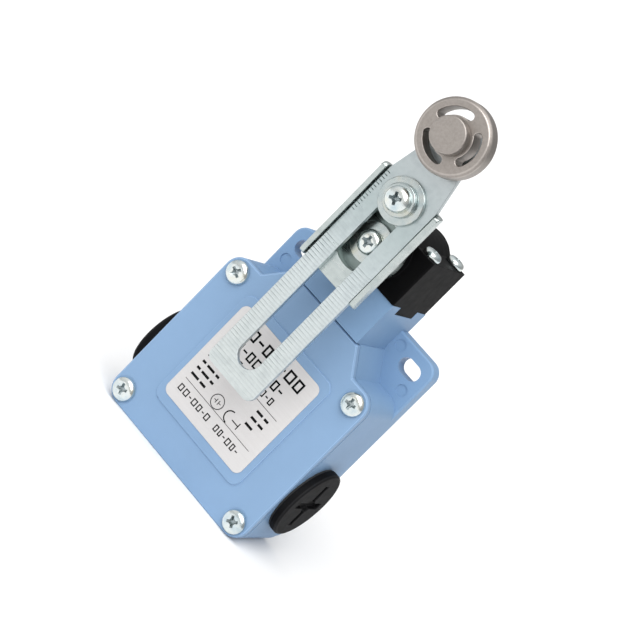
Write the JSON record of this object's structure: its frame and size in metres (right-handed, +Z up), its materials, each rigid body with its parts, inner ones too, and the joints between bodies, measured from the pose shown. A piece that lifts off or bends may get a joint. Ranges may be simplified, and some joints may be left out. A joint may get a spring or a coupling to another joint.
{
  "type": "limit switch",
  "caption": "Limit switch with a painted die-cast body, a turret head and a swinging lever whose slotted arm slides to set the roller's reach.",
  "frame": {"origin": "midway between the two mounting slots, on the back face", "axes": "+X to the right, -Y to the front (the cover and lever side), +Z up, from the body towards the roller"},
  "size_m": [0.0642, 0.0523, 0.1306],
  "materials": {
    "body_paint": "light blue enamel over die-cast metal, slightly textured, semi-gloss",
    "cover_paint": "light blue enamel over die-cast metal, semi-gloss",
    "head_black": "black enamel over die-cast metal, satin",
    "plug_black": "black moulded nylon, satin",
    "gasket_rubber": "black nitrile rubber",
    "label_foil": "satin silver foil with dark printed bars",
    "zinc_screws": "bright zinc plate",
    "zinc_sheet": "zinc plated pressed sheet, faint grain",
    "zinc_washers": "bright zinc plate, polished",
    "sintered_steel": "warm grey sintered steel, fine grain",
    "shaft_steel": "ground stainless steel",
    "bronze": "sintered bronze",
    "contact_brass": "stamped brass with silver contact faces",
    "block_plastic": "black thermoset moulding",
    "lid_plastic": "tan thermoset moulding",
    "carrier_plastic": "natural acetal",
    "spring_steel": "spring wire"
  },
  "bodies": {
    "body": {"housing": "body_paint", "cover": "cover_paint", "cover_gasket": "gasket_rubber", "cover_screws": "zinc_screws", "label_plate": "label_foil", "conduit_plug_left": "plug_black", "conduit_plug_right": "plug_black", "plug_seal_left": "gasket_rubber", "plug_seal_right": "gasket_rubber", "head_body": "head_black", "head_ring_seal": "gasket_rubber", "head_screws": "zinc_screws", "front_bush": "bronze", "rear_bush": "bronze", "shaft_seal": "gasket_rubber", "plunger_guide": "bronze", "plunger_spring": "spring_steel", "block_spring": "spring_steel", "block_base": "block_plastic", "block_lid": "lid_plastic", "block_screws": "zinc_screws", "fixed_contacts": "contact_brass", "terminal_clamps": "zinc_washers", "terminal_screws": "zinc_screws", "earth_screw": "zinc_screws", "earth_clamp": "zinc_washers"},
    "shaft": {"lever_shaft": "shaft_steel", "cam": "sintered_steel", "cam_pin": "shaft_steel", "shaft_clip": "spring_steel", "shaft_screw": "zinc_screws", "shaft_washer": "zinc_washers"},
    "plunger": {"plunger": "shaft_steel", "contact_carrier": "carrier_plastic", "contact_bridges": "contact_brass"},
    "hub": {"lever_hub": "zinc_sheet", "clamp_washer": "zinc_washers", "clamp_collar": "zinc_washers", "clamp_screw": "zinc_screws", "clamp_sleeve": "shaft_steel", "clamp_nut": "zinc_sheet"},
    "arm": {"adjusting_arm": "zinc_sheet", "roller_rivet": "sintered_steel", "roller_spacer": "zinc_washers"},
    "roller": {"roller": "sintered_steel", "roller_bush": "bronze"}
  },
  "joints": [
    {"name": "lever_swing", "type": "hinge", "parent": "body", "child": "shaft", "pos_m": [0, 0, 0.0211], "axis": [0, 1, 0], "range_deg": [-70, 70], "stiffness_Nm_per_rad": 0.25},
    {"name": "lever_index", "type": "hinge", "parent": "shaft", "child": "hub", "pos_m": [0, 0, 0.0211], "axis": [0, 1, 0], "continuous": true},
    {"name": "arm_slide", "type": "slide", "parent": "hub", "child": "arm", "axis": [0, 0, 1], "range_m": [0, 0.055]},
    {"name": "roller_spin", "type": "hinge", "parent": "arm", "child": "roller", "pos_m": [0, 0, 0.05685], "axis": [0, 1, 0], "continuous": true},
    {"name": "plunger_stroke", "type": "slide", "parent": "body", "child": "plunger", "axis": [0, 0, -1], "range_m": [0, 0.0025], "stiffness_N_per_m": 800, "springref_m": -0.001, "deforming": ["plunger_spring", "block_spring"]}
  ]
}
